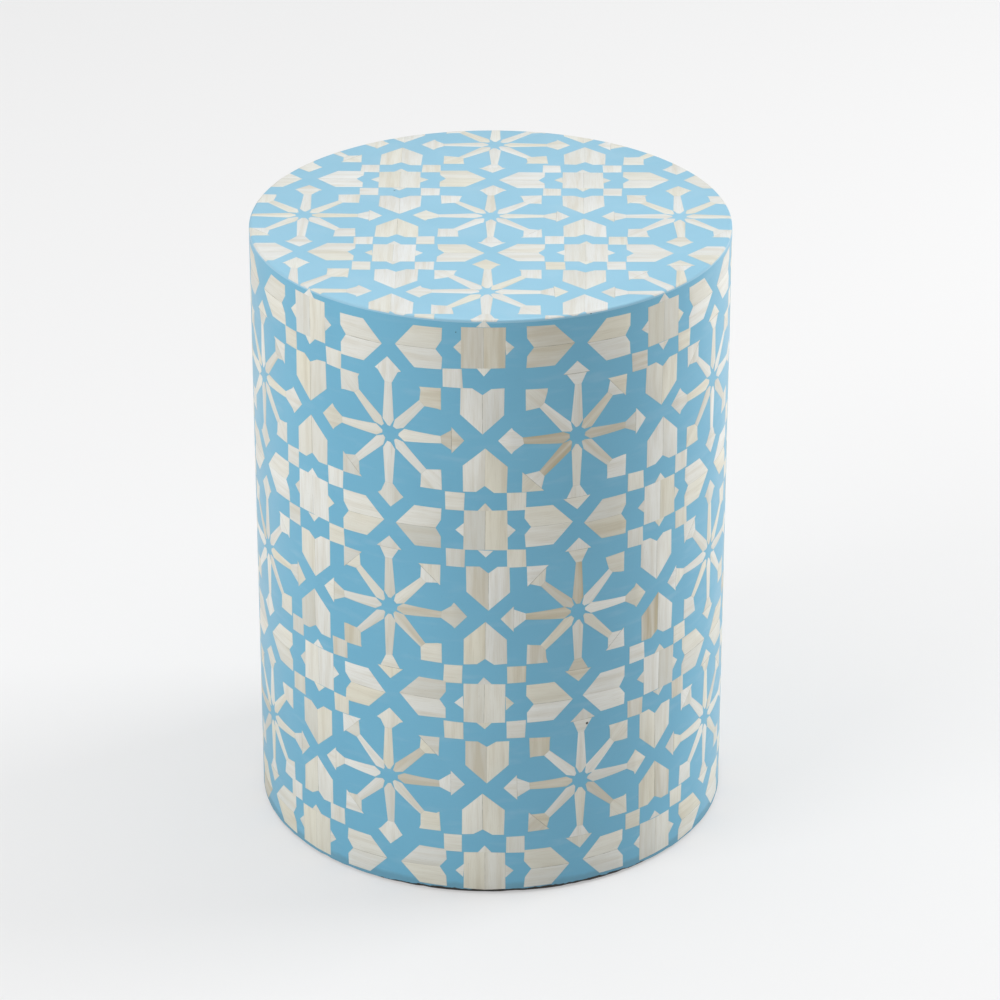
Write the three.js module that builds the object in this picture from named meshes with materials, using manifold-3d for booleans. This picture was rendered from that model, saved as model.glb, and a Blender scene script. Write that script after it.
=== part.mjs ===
// Moroccan drum stool: a round wooden drum dressed with bone chips that are set in blue resin.
// Lengths are millimetres. Z points up and the origin lies on the floor under the drum's centre.
// The front faces -Y and shows a column of eight-pointed rosettes.
//
// The drum's wall is laid out flat. A place on it is [along, up]: along is counted in column
// pitches round the drum, from a star column, and up in millimetres above the floor.
import * as THREE from 'three';
import { mergeVertices } from 'three/addons/utils/BufferGeometryUtils.js';
import Module from 'manifold-3d';

const wasm = await Module();
wasm.setup();

// Driving dimensions
const stoolHeight = 450;
const stoolDiameter = 340;
const columnCount = 8;
const starRowCount = 3;

// Inlay layer: a bed of resin, the glue under each chip, and the chip, which is flush with the resin
const chipThickness = 1.6;
const resinBed = 0.4;
const glueGap = 0.3;
const inlayThickness = resinBed + glueGap + chipThickness;
const pocketDepth = glueGap + chipThickness;
const rimChamfer = 1.5;
const rosetteMargin = 22;
const topPitchShare = 0.3875;
const topPatternShift = 8;
const topPatternTurn = THREE.MathUtils.degToRad(0.8);

// Carcass
const skinThickness = 4;
const topBoardThickness = 18;
const bottomBoardThickness = 12;
const bottomRecess = 3;
const formerCount = 2;
const formerThickness = 15;
const formerWidth = 42;
const battenWidth = 28;
const battenDepth = 18;

// Glides and the nails that hold them
const glideStandOff = 1.5;
const glideRadius = 12;
const glideChamfer = 0.8;
const glideFloor = 1.5;
const nailRadius = 1.5;
const nailGripDepth = 12;
const nailPointLength = 3;
const battensPerGlide = 2;
const cutOverrun = 5;

// Sides that stand in for the round forms
const glideSides = 8;
const nailSides = 6;
const formerBoreSides = 16;

// Where the flat facets of the drum meet, in shares of a column: clear of the chips, or through
// the middle of one, or where a star's ray meets its head
const rayNeckShare = 0.2835;
const facetShares = [0, rayNeckShare, 1 / 2, 1 - rayNeckShare];

// Outlines of the chips, in shares of the pitch. A star's rays run out from its centre along +X,
// and a shield points along +X away from the centre of its rosette.
const rayShares = { inner: 0.062, innerHalf: 0.0245, neckHalf: 0.017 };
const straightHeadShares = { neck: rayNeckShare, shoulder: 0.347, half: 0.072, tip: 0.417 };
const diagonalHeadShares = { neck: 0.269, shoulder: 0.3147, half: 0.0813, tip: 0.396 };
const rosetteShares = { half: 0.11, tipHalf: 0.04, tip: 0.153 };
const shieldShares = {
  base: 0.219, half: 0.111, notchHalf: 0.042, notchDepth: 0.033, shoulder: 0.362, tip: 0.465,
};
const squareShares = { inner: 0.117, outer: 0.213 };
const sameShare = 1e-9;

// Worked out from the sizes above
const fullTurn = 2 * Math.PI;
const columnPitch = Math.PI * stoolDiameter / columnCount;
const rowPitch = (stoolHeight - 2 * rosetteMargin) / starRowCount;
const topPitch = topPitchShare * stoolDiameter;
const drumRadius = stoolDiameter / 2;
const wallBottom = glideStandOff;
const wallTop = stoolHeight - inlayThickness - glueGap;
const skinRadius = drumRadius - inlayThickness - glueGap;
const coreRadius = skinRadius - skinThickness - glueGap;
const topBoardBottom = wallTop - topBoardThickness;
const bottomBoardBottom = wallBottom + bottomRecess;
const bottomBoardTop = bottomBoardBottom + bottomBoardThickness;
const battenBottom = bottomBoardTop + glueGap;
const battenTop = topBoardBottom - glueGap;
const glideHeight = bottomBoardBottom - glueGap;
const battenPlace = rayNeckShare / 2;

const stool = new THREE.Group();

function material(color, roughness) {
  return new THREE.MeshStandardMaterial({ color, roughness, metalness: 0 });
}

// Solids and their cuts

// Positions only, with shared corners merged and without the faces that this closes up
function bare(geometry) {
  const loose = geometry.index ? geometry.toNonIndexed() : geometry.clone();
  loose.deleteAttribute('normal');
  loose.deleteAttribute('uv');
  const shell = mergeVertices(loose);
  const faces = [];
  for (let first = 0; first < shell.index.count; first += 3) {
    const face = Array.from(shell.index.array.slice(first, first + 3));
    if (new Set(face).size === 3) faces.push(...face);
  }
  shell.setIndex(faces);
  return shell;
}

function solidOf(geometry) {
  const shell = bare(geometry);
  const vertProperties = new Float32Array(shell.attributes.position.array);
  const triVerts = new Uint32Array(shell.index.array);
  return new wasm.Manifold(new wasm.Mesh({ numProp: 3, vertProperties, triVerts }));
}

function geometryOf(solid) {
  const mesh = solid.getMesh();
  const geometry = new THREE.BufferGeometry();
  geometry.setAttribute('position', new THREE.BufferAttribute(mesh.vertProperties, mesh.numProp));
  geometry.setIndex(new THREE.BufferAttribute(mesh.triVerts, 1));
  return geometry;
}

function cut(geometry, cutters) {
  const solid = cutters.reduce((rest, cutter) => rest.subtract(solidOf(cutter)), solidOf(geometry));
  return geometryOf(solid);
}

function addPiece(name, geometry, look) {
  const shell = bare(geometry);
  shell.computeVertexNormals();
  const piece = new THREE.Mesh(shell, look);
  piece.name = name;
  stool.add(piece);
  return piece;
}

function shapeOf(points) {
  return new THREE.Shape(points.map(([x, y]) => new THREE.Vector2(x, y)));
}

// A solid through plan outlines of equal length, one above another
function stack(levels) {
  const corners = [];
  const addTriangle = (a, b, c) => corners.push(...a, ...b, ...c);
  const rings = levels.map(({ outline, height }) => outline.map((point) => [...point, height]));
  const flat = levels[0].outline.map(([x, y]) => new THREE.Vector2(x, y));
  const cap = THREE.ShapeUtils.triangulateShape(flat, []);
  const [bottom, top] = [rings[0], rings[rings.length - 1]];
  for (const [a, b, c] of cap) {
    addTriangle(top[a], top[b], top[c]);
    addTriangle(bottom[c], bottom[b], bottom[a]);
  }
  rings.slice(1).forEach((upper, index) => {
    const lower = rings[index];
    lower.forEach((start, corner) => {
      const next = (corner + 1) % lower.length;
      addTriangle(start, lower[next], upper[next]);
      addTriangle(start, upper[next], upper[corner]);
    });
  });
  return fromCorners(corners);
}

function fromCorners(corners) {
  const geometry = new THREE.BufferGeometry();
  geometry.setAttribute('position', new THREE.Float32BufferAttribute(corners, 3));
  return geometry;
}

// An upright prism over a plan outline, with any holes, from bottom to top
function prism(outline, bottom, top, holes = []) {
  const shape = shapeOf(outline);
  shape.holes = holes.map(shapeOf);
  const geometry = new THREE.ExtrudeGeometry(shape, { depth: top - bottom, bevelEnabled: false });
  return geometry.translate(0, 0, bottom);
}

// The faceted drum

// Direction of a place round the drum: the rosette column, half a pitch along, faces -Y
function azimuth(along) {
  return fullTurn * (along - 1 / 2) / columnCount - fullTurn / 4;
}

function onCircle(along, radius) {
  return [radius * Math.cos(azimuth(along)), radius * Math.sin(azimuth(along))];
}

// All facet edges from one place to another, with both places themselves
function facetEdges(from, to) {
  const edges = [from];
  for (let column = Math.floor(from); column <= to; column += 1) {
    for (const share of facetShares) {
      if (column + share > from && column + share < to) edges.push(column + share);
    }
  }
  edges.push(to);
  return edges;
}

function mix(start, end, share) {
  return [start[0] + (end[0] - start[0]) * share, start[1] + (end[1] - start[1]) * share];
}

// A point on the faceted wall whose corners lie on the given radius
function onWall(along, radius) {
  const column = Math.floor(along);
  const corners = [...facetShares, 1];
  const next = corners.findIndex((share) => share > along - column);
  const low = corners[next - 1];
  const high = corners[next];
  const share = (along - column - low) / (high - low);
  return mix(onCircle(column + low, radius), onCircle(column + high, radius), share);
}

function wallOutline(radius) {
  return facetEdges(0, columnCount).slice(0, -1).map((along) => onCircle(along, radius));
}

// Chip outlines, counter-clockwise, in shares of the pitch round the pattern's own centre

function turned(outline, angle) {
  const cos = Math.cos(angle);
  const sin = Math.sin(angle);
  return outline.map(([x, y]) => [x * cos - y * sin, x * sin + y * cos]);
}

function rayOutline(head) {
  const { inner, innerHalf, neckHalf } = rayShares;
  return [[inner, -innerHalf], [head.neck, -neckHalf], [head.neck, neckHalf], [inner, innerHalf]];
}

function headOutline(head) {
  const { neckHalf } = rayShares;
  return [
    [head.neck, -neckHalf], [head.shoulder, -head.half], [head.tip, 0],
    [head.shoulder, head.half], [head.neck, neckHalf],
  ];
}

// A ray and its head share one pocket
function arrowOutline(head) {
  const [innerRight, , , innerLeft] = rayOutline(head);
  return [innerRight, ...headOutline(head), innerLeft];
}

function rosetteOutline(withLowerTip) {
  const { half, tipHalf, tip } = rosetteShares;
  const points = [];
  for (let quarter = 0; quarter < 4; quarter += 1) {
    const isLowerSide = quarter === 3;
    const tipPoints = isLowerSide && !withLowerTip ? [] : [[half, -tipHalf], [tip, 0], [half, tipHalf]];
    points.push(...turned([...tipPoints, [half, half]], quarter * fullTurn / 4));
  }
  return points;
}

function squareOutline() {
  const { inner, outer } = squareShares;
  return [[inner, inner], [outer, inner], [outer, outer], [inner, outer]];
}

function starDirections() {
  return Array.from({ length: 8 }, (_, step) => ({
    angle: step * fullTurn / 8,
    head: step % 2 === 0 ? straightHeadShares : diagonalHeadShares,
  }));
}

function starOutlines() {
  return starDirections().map(({ angle, head }) => turned(arrowOutline(head), angle));
}

function shieldOutline(isNotched) {
  const { base, half, notchHalf, notchDepth, shoulder, tip } = shieldShares;
  const notch = [[base, notchHalf], [base + notchDepth, 0], [base, -notchHalf]];
  const sides = [[base, -half], [shoulder, -half], [tip, 0], [shoulder, half], [base, half]];
  return isNotched ? [...sides, ...notch] : sides;
}

// A rosette whose chips all fit has squares and notched shields on its four sides
function fullRosetteOutlines() {
  const quarters = [0, 1, 2, 3].map((quarter) => quarter * fullTurn / 4);
  return [
    rosetteOutline(true),
    ...quarters.map((angle) => turned(shieldOutline(true), angle)),
    ...quarters.map((angle) => turned(squareOutline(), angle)),
  ];
}

// A rosette on the wall, without small squares. Against the top or the bottom edge it lacks
// what would cross that edge.
function wallRosetteOutlines(hasUpper, hasLower) {
  const isThere = [true, hasUpper, true, hasLower];
  const shields = isThere.flatMap((there, quarter) => {
    return there ? [turned(shieldOutline(false), quarter * fullTurn / 4)] : [];
  });
  return [rosetteOutline(hasLower), ...shields];
}

// Pockets in the wall: prisms bent along the facets

function snapped([along, up], edges) {
  const near = edges.find((edge) => Math.abs(along - edge) < sameShare);
  return [near ?? along, up];
}

// The outline with a point added wherever it crosses a facet edge
function splitAt(edge, outline) {
  return outline.flatMap((start, index) => {
    const end = outline[(index + 1) % outline.length];
    const crosses = (start[0] - edge) * (end[0] - edge) < 0;
    const share = (edge - start[0]) / (end[0] - start[0]);
    return crosses ? [start, [edge, mix(start, end, share)[1]]] : [start];
  });
}

// A punch through a chip's outline on the wall, which may cross one facet edge. Its sides are
// all square to that edge or to its facet, and its bottom follows the facets.
function punch(outline) {
  const alongs = outline.map(([along]) => along);
  const nearby = facetEdges(Math.floor(Math.min(...alongs)), Math.ceil(Math.max(...alongs)));
  const points = outline.map((point) => snapped(point, nearby));
  const low = Math.min(...points.map(([along]) => along));
  const high = Math.max(...points.map(([along]) => along));
  const edge = nearby.find((place) => place > low && place < high);
  const ring = edge === undefined ? points : splitAt(edge, points);
  const [x, y] = onWall(edge ?? (low + high) / 2, 1);
  const outward = new THREE.Vector3(x, y, 0).normalize();
  const place = ([along, up], distance) => {
    const foot = new THREE.Vector3(...onWall(along, drumRadius), up);
    return foot.addScaledVector(outward, distance).toArray();
  };
  const top = (point) => place(point, cutOverrun);
  const floor = (point) => place(point, -pocketDepth);
  const corners = [];
  const strips = edge === undefined ? [[low, high]] : [[low, edge], [edge, high]];
  for (const [from, to] of strips) {
    const inStrip = ring.filter(([along]) => along >= from && along <= to);
    const flat = inStrip.map(([along, up]) => new THREE.Vector2(along * columnPitch, up));
    for (const face of THREE.ShapeUtils.triangulateShape(flat, [])) {
      const [a, b, c] = face.map((index) => inStrip[index]);
      corners.push(...top(a), ...top(b), ...top(c), ...floor(c), ...floor(b), ...floor(a));
    }
  }
  ring.forEach((start, index) => {
    const end = ring[(index + 1) % ring.length];
    corners.push(...floor(start), ...floor(end), ...top(end), ...floor(start), ...top(end), ...top(start));
  });
  return fromCorners(corners);
}

function wallPockets() {
  const pockets = [];
  const addOutlines = (outlines, along, up) => {
    for (const outline of outlines) {
      pockets.push(punch(outline.map(([x, y]) => [along + x, up + y * rowPitch])));
    }
  };
  for (let column = 0; column < columnCount; column += 1) {
    for (let row = 0; row < starRowCount; row += 1) {
      addOutlines(starOutlines(), column + 1, rosetteMargin + (row + 1 / 2) * rowPitch);
    }
    for (let row = 0; row <= starRowCount; row += 1) {
      const outlines = wallRosetteOutlines(row < starRowCount, row > 0);
      addOutlines(outlines, column + 1 / 2, rosetteMargin + row * rowPitch);
    }
  }
  return pockets;
}

// Pockets in the top: the same pattern on a square grid round a star, cut off by the rim

function onTop([x, y]) {
  const [turnedX, turnedY] = turned([[x * topPitch, y * topPitch]], topPatternTurn)[0];
  return [turnedX, turnedY + topPatternShift];
}

function reachesTop(outline) {
  const meanX = outline.reduce((sum, [x]) => sum + x, 0) / outline.length;
  const meanY = outline.reduce((sum, [, y]) => sum + y, 0) / outline.length;
  return Math.hypot(meanX, meanY) < drumRadius - rimChamfer;
}

function topPockets() {
  const pockets = [];
  const addOutlines = (outlines, column, row) => {
    for (const outline of outlines) {
      const placed = outline.map(([x, y]) => onTop([column + x, row + y]));
      if (!reachesTop(placed)) continue;
      pockets.push(prism(placed, stoolHeight - pocketDepth, stoolHeight + cutOverrun));
    }
  };
  const reach = Math.ceil(drumRadius / topPitch);
  for (let column = -reach; column <= reach; column += 1) {
    for (let row = -reach; row <= reach; row += 1) {
      addOutlines(starOutlines(), column, row);
      addOutlines(fullRosetteOutlines(), column + 1 / 2, row + 1 / 2);
    }
  }
  return pockets;
}

// Blue resin with a blind seat for every chip

function joined(geometries) {
  return fromCorners(geometries.flatMap((geometry) => {
    const shell = geometry.index ? geometry.toNonIndexed() : geometry;
    return Array.from(shell.attributes.position.array);
  }));
}

function resinWall() {
  const sheath = prism(wallOutline(drumRadius), wallBottom, wallTop, [wallOutline(skinRadius + glueGap)]);
  return cut(sheath, [joined(wallPockets())]);
}

// The top layer reaches over the wall, and its rim is eased
function resinTop() {
  const layer = stack([
    { outline: wallOutline(drumRadius), height: wallTop + glueGap },
    { outline: wallOutline(drumRadius), height: stoolHeight - rimChamfer },
    { outline: wallOutline(drumRadius - rimChamfer), height: stoolHeight },
  ]);
  return cut(layer, [joined(topPockets())]);
}

const resin = () => material(0x6db0cd, 0.25);
addPiece('resin_side', resinWall(), resin());
addPiece('resin_top', resinTop(), resin());

// Bone chips of the star in the middle of the top, each in its seat with glue all round

function inset(outline, distance) {
  const count = outline.length;
  const sides = outline.map((start, index) => {
    const end = outline[(index + 1) % count];
    const length = Math.hypot(end[0] - start[0], end[1] - start[1]);
    const normal = [(start[1] - end[1]) / length, (end[0] - start[0]) / length];
    return { normal, reach: normal[0] * start[0] + normal[1] * start[1] + distance };
  });
  return outline.map((_, index) => {
    const before = sides[(index + count - 1) % count];
    const after = sides[index];
    const spread = before.normal[0] * after.normal[1] - before.normal[1] * after.normal[0];
    return [
      (before.reach * after.normal[1] - after.reach * before.normal[1]) / spread,
      (after.reach * before.normal[0] - before.reach * after.normal[0]) / spread,
    ];
  });
}

function topChip(outline, angle) {
  const placed = turned(outline, angle).map(onTop);
  return prism(inset(placed, glueGap), stoolHeight - chipThickness, stoolHeight);
}

starDirections().forEach(({ angle, head }, index) => {
  const bone = () => material(0xece6d6, 0.4);
  addPiece(`star_ray_${index + 1}`, topChip(rayOutline(head), angle), bone());
  addPiece(`star_head_${index + 1}`, topChip(headOutline(head), angle), bone());
});

// Bent plywood skin in two halves, whose seams lie on opposite battens

function skinHalf(half) {
  const seamHalf = glueGap / columnPitch;
  const from = battenPlace + half * columnCount / 2 + seamHalf;
  const to = battenPlace + (half + 1) * columnCount / 2 - seamHalf;
  const edges = facetEdges(from, to);
  const outside = edges.map((along) => onWall(along, skinRadius));
  const inside = edges.map((along) => onWall(along, skinRadius - skinThickness)).reverse();
  return prism([...outside, ...inside], wallBottom, wallTop);
}

const plywood = () => material(0xc9a878, 0.7);
addPiece('skin_left', skinHalf(1), plywood());
addPiece('skin_right', skinHalf(0), plywood());

// Battens, each flat against a facet of the skin, and the notched rings that hold them apart

// Plan outline of a block against the wall, a given way past the batten on each free side
function battenOutline(column, margin) {
  const [x, y] = onWall(column + battenPlace, coreRadius);
  const outward = new THREE.Vector2(x, y).normalize();
  const sideways = new THREE.Vector2(-outward.y, outward.x).multiplyScalar(battenWidth / 2 + margin);
  const outer = new THREE.Vector2(x, y);
  const inner = outer.clone().addScaledVector(outward, -battenDepth - margin);
  return [
    outer.clone().add(sideways), inner.clone().add(sideways),
    inner.clone().sub(sideways), outer.clone().sub(sideways),
  ].map((point) => [point.x, point.y]);
}

// A nail goes up into a batten as near the wall as its glide lets it
function nailCentre(column) {
  const face = onWall(column + battenPlace, coreRadius);
  return mix(face, [0, 0], (glideRadius + glueGap) / Math.hypot(...face));
}

function circleOutline(centre, radius, sides) {
  return Array.from({ length: sides }, (_, step) => [
    centre[0] + radius * Math.cos(step * fullTurn / sides),
    centre[1] + radius * Math.sin(step * fullTurn / sides),
  ]);
}

function nailHole(column, bottom, top) {
  return prism(circleOutline(nailCentre(column), nailRadius + glueGap, nailSides), bottom, top);
}

const battens = Array.from({ length: columnCount }, (_, column) => column);
const glideBattens = battens.filter((column) => column % battensPerGlide === 0);
const nailTop = battenBottom + nailGripDepth;

for (const column of battens) {
  const block = prism(battenOutline(column, 0), battenBottom, battenTop);
  const hasNail = glideBattens.includes(column);
  const holes = hasNail ? [nailHole(column, battenBottom - cutOverrun, nailTop + glueGap)] : [];
  addPiece(`batten_${column + 1}`, cut(block, holes), material(0xb98f5c, 0.8));
}

function formerOutline() {
  return battens.flatMap((column) => {
    const notch = battenOutline(column, glueGap).reverse();
    const [start, ...others] = facetShares.map((share) => onCircle(column + share, coreRadius));
    return [start, ...notch, ...others];
  });
}

for (let index = 0; index < formerCount; index += 1) {
  const centre = battenBottom + (battenTop - battenBottom) * (index + 1) / (formerCount + 1);
  const bore = circleOutline([0, 0], coreRadius - formerWidth, formerBoreSides);
  const bottom = centre - formerThickness / 2;
  const ring = prism(formerOutline(), bottom, bottom + formerThickness, [bore]);
  addPiece(`former_${index + 1}`, ring, material(0xa9834f, 0.8));
}

// Boards that close the drum. The bottom one lies a little up inside the wall.

addPiece('top_board', prism(wallOutline(coreRadius), topBoardBottom, wallTop), material(0xbf9a68, 0.8));

const nailPassages = glideBattens.map((column) => {
  return nailHole(column, bottomBoardBottom - cutOverrun, bottomBoardTop + cutOverrun);
});
const bottomBoard = prism(wallOutline(coreRadius), bottomBoardBottom, bottomBoardTop);
addPiece('bottom_board', cut(bottomBoard, nailPassages), material(0x2b2622, 0.9));

// Glides: plastic pads that the drum stands on, each on a nail through the board into a batten

function glideGeometry() {
  const seatRadius = nailRadius + glueGap;
  const profile = [
    [0, 0], [glideRadius - glideChamfer, 0], [glideRadius, glideChamfer], [glideRadius, glideHeight],
    [seatRadius, glideHeight], [seatRadius, glideFloor], [0, glideFloor],
  ];
  return new THREE.LatheGeometry(profile.map(([x, y]) => new THREE.Vector2(x, y)), glideSides);
}

function nailGeometry() {
  const bottom = glideFloor + glueGap;
  const profile = [[0, bottom], [nailRadius, bottom], [nailRadius, nailTop - nailPointLength], [0, nailTop]];
  return new THREE.LatheGeometry(profile.map(([x, y]) => new THREE.Vector2(x, y)), nailSides);
}

glideBattens.forEach((column, index) => {
  const [x, y] = nailCentre(column);
  const pieces = [
    addPiece(`glide_${index + 1}`, glideGeometry(), material(0x1d1c1b, 0.6)),
    addPiece(`glide_nail_${index + 1}`, nailGeometry(), material(0x9a9a98, 0.4)),
  ];
  for (const piece of pieces) {
    piece.rotation.x = fullTurn / 4;
    piece.position.set(x, y, 0);
  }
});

export default stool;
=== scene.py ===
import math
import random

import bmesh
import bpy
from mathutils import Matrix, Vector


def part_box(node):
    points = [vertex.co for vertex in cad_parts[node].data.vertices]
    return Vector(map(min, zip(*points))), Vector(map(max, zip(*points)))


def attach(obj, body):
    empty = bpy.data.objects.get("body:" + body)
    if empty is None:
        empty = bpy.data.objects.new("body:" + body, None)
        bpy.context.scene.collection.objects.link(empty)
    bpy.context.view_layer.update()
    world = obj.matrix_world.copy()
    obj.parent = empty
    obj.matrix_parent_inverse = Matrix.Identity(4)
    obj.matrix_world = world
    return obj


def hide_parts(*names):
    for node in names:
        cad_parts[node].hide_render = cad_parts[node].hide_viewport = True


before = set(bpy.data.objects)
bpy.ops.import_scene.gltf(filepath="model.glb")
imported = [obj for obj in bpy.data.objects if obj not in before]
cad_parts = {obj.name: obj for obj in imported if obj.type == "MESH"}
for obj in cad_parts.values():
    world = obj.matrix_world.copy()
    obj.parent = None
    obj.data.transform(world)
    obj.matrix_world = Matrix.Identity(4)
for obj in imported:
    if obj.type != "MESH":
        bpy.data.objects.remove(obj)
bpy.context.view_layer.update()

# Notched rings: two rings of pine board inside the drum that hold the eight battens apart.
# They are sawn with a notch for each batten and left raw.


def add_node(tree, kind, sockets, **settings):
    made = tree.nodes.new(kind)
    for name, value in settings.items():
        setattr(made, name, value)
    for socket, value in sockets.items():
        if isinstance(value, bpy.types.NodeSocket):
            tree.links.new(value, made.inputs[socket])
        else:
            made.inputs[socket].default_value = value
    return made


def reckon(tree, sum_kind, first, second=0.0):
    return add_node(tree, "ShaderNodeMath", {0: first, 1: second}, operation=sum_kind).outputs[0]


def rescale(tree, value, low, high, new_low, new_high):
    sockets = {"Value": value, "From Min": low, "From Max": high, "To Min": new_low, "To Max": new_high}
    return add_node(tree, "ShaderNodeMapRange", sockets).outputs[0]


def measure(tree, sum_kind, first, second=(0.0, 0.0, 0.0)):
    sockets = {0: first, 1: second}
    return add_node(tree, "ShaderNodeVectorMath", sockets, operation=sum_kind).outputs["Value"]


def blend_colours(tree, share, first, second, kind="MIX"):
    sockets = {0: share, 6: first, 7: second}
    return add_node(tree, "ShaderNodeMix", sockets, data_type="RGBA", blend_type=kind).outputs[2]


def cloud(tree, place, scale, detail=2.0, roughness=0.5):
    sockets = {"Vector": place, "Scale": scale, "Detail": detail, "Roughness": roughness}
    return add_node(tree, "ShaderNodeTexNoise", sockets).outputs["Fac"]


def stretch(tree, place, scale):
    return add_node(tree, "ShaderNodeMapping", {"Vector": place, "Scale": scale}).outputs[0]


def new_group(name, inputs, outputs):
    group = bpy.data.node_groups.new(name, "ShaderNodeTree")
    for side, rows in (("INPUT", inputs), ("OUTPUT", outputs)):
        for socket_name, socket_kind in rows:
            group.interface.new_socket(socket_name, in_out=side, socket_type=socket_kind)
    start = group.nodes.new("NodeGroupInput")
    end = group.nodes.new("NodeGroupOutput")
    return group, start.outputs, end.inputs


def use_group(tree, group, sockets):
    return add_node(tree, "ShaderNodeGroup", sockets, node_tree=group).outputs


def object_place(tree):
    return tree.nodes.new("ShaderNodeTexCoord").outputs["Object"]


def new_finish(name, **constants):
    finish = bpy.data.materials.new(name)
    finish.use_nodes = True
    shader = finish.node_tree.nodes["Principled BSDF"]
    for socket, value in constants.items():
        shader.inputs[socket.replace("_", " ")].default_value = value
    return finish, finish.node_tree, shader.inputs


def roughen(tree, shader, height, depth):
    bump = add_node(tree, "ShaderNodeBump", {"Height": height, "Distance": depth, "Strength": 1.0})
    tree.links.new(bump.outputs["Normal"], shader["Normal"])


# Wood: growth rings pulled out along the grain, and fine fibres
wood_grain, wood_in, wood_out = new_group(
    "wood_grain",
    [("Place", "NodeSocketVector"), ("Early wood", "NodeSocketColor"),
     ("Late wood", "NodeSocketColor"), ("Ring spacing", "NodeSocketFloat")],
    [("Colour", "NodeSocketColor"), ("Height", "NodeSocketFloat")],
)
ring_wave = add_node(
    wood_grain, "ShaderNodeTexWave",
    {"Vector": wood_in["Place"], "Scale": wood_in["Ring spacing"], "Distortion": 3.0, "Detail": 2.0,
     "Detail Scale": 0.6},
    wave_type="BANDS", bands_direction="X",
).outputs["Fac"]
along_fibres = stretch(wood_grain, wood_in["Place"], (900.0, 900.0, 30.0))
fibres = cloud(wood_grain, along_fibres, scale=1.0, detail=3.0)
ring_mask = rescale(wood_grain, ring_wave, 0.35, 0.95, 0.0, 0.75)
ring_colour = blend_colours(wood_grain, ring_mask, wood_in["Early wood"], wood_in["Late wood"])
fibre_mask = rescale(wood_grain, fibres, 0.35, 0.75, 0.0, 0.35)
wood_colour = blend_colours(wood_grain, fibre_mask, ring_colour, wood_in["Late wood"])
wood_grain.links.new(wood_colour, wood_out["Colour"])
wood_grain.links.new(reckon(wood_grain, "ADD", fibres, ring_mask), wood_out["Height"])
roughness_spread = 0.08
fibre_height = 0.0003


def wooden_finish(name, early_wood, late_wood, ring_spacing, lie, roughness):
    """Wood whose grain lies along the Z axis of the given turn."""
    finish, tree, shader = new_finish(name, Specular_IOR_Level=0.35)
    sockets = {"Vector": object_place(tree), "Rotation": lie}
    laid = add_node(tree, "ShaderNodeMapping", sockets).outputs[0]
    grain = use_group(tree, wood_grain, {
        "Place": laid, "Early wood": early_wood, "Late wood": late_wood, "Ring spacing": ring_spacing,
    })
    tree.links.new(grain["Colour"], shader["Base Color"])
    patchy = cloud(tree, laid, scale=35.0)
    smoothest, roughest = roughness - roughness_spread, roughness + roughness_spread
    tree.links.new(rescale(tree, patchy, 0.3, 0.7, smoothest, roughest), shader["Roughness"])
    roughen(tree, shader, grain["Height"], depth=fibre_height)
    return finish


def dress(piece, finish):
    piece.data.materials.clear()
    piece.data.materials.append(finish)


across_x = (0.0, math.radians(90), 0.0)
ring_pine = wooden_finish(
    "ring_pine", early_wood=(0.52, 0.34, 0.17, 1), late_wood=(0.33, 0.19, 0.08, 1),
    ring_spacing=9.0, lie=across_x, roughness=0.78)
for name in ("former_1", "former_2"):
    dress(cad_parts[name], ring_pine)

# Battens: eight planed softwood strips, nailed into the notches of the rings. The skin is glued
# to them, and its two seams lie on two of them.

upright = (0.0, 0.0, 0.0)
batten_wood = wooden_finish(
    "batten_wood", early_wood=(0.62, 0.44, 0.24, 1), late_wood=(0.42, 0.26, 0.11, 1),
    ring_spacing=22.0, lie=upright, roughness=0.72)
batten_count = 8
for number in range(1, batten_count + 1):
    dress(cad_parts[f"batten_{number}"], batten_wood)

# Bent skin: two halves of thin plywood, bent round the battens and glued. Its cut lower edge
# shows under the stool as a ring of thin layers.

skin_outside = 0.1674
skin_inside = 0.1634
wall_foot = 0.0015
wall_head = 0.4474
skin_seam = 0.0003
seamed_batten_turn = math.radians(-106.12)
ply_thickness = 0.001
layer_change = 0.5
skin_facets = 96
full_turn = 2 * math.pi
same_place = 1e-7


def spun(profile, turn, steps, start=0.0):
    """A closed outline in the XZ plane, turned about the drum's axis."""
    body = bmesh.new()
    corners = [body.verts.new((radius, 0.0, height)) for radius, height in profile]
    face = body.faces.new(corners)
    is_whole = math.isclose(turn, full_turn)
    if is_whole:
        bmesh.ops.delete(body, geom=[face], context="FACES_ONLY")
    bmesh.ops.spin(
        body, geom=[*body.verts, *body.edges, *body.faces], cent=(0, 0, 0), axis=(0, 0, 1), angle=turn,
        steps=steps, use_merge=is_whole, use_duplicate=False,
    )
    bmesh.ops.remove_doubles(body, verts=body.verts, dist=same_place)
    bmesh.ops.rotate(body, verts=body.verts, cent=(0, 0, 0), matrix=Matrix.Rotation(start, 3, "Z"))
    bmesh.ops.recalc_face_normals(body, faces=body.faces)
    return body


def keep_corners(body, sharp_from):
    """Shades the body smoothly, but for its edges that turn by the given degrees or more."""
    for face in body.faces:
        face.smooth = True
    for edge in body.edges:
        is_round = edge.calc_face_angle(0.0) < math.radians(sharp_from)
        edge.smooth = len(edge.link_faces) == 2 and is_round


def place_piece(name, body, finish, slot, *nodes):
    mesh = bpy.data.meshes.new(name)
    body.to_mesh(mesh)
    body.free()
    piece = bpy.data.objects.new(name, mesh)
    bpy.context.scene.collection.objects.link(piece)
    dress(piece, finish)
    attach(piece, "root")
    if nodes:
        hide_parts(*nodes)


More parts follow.
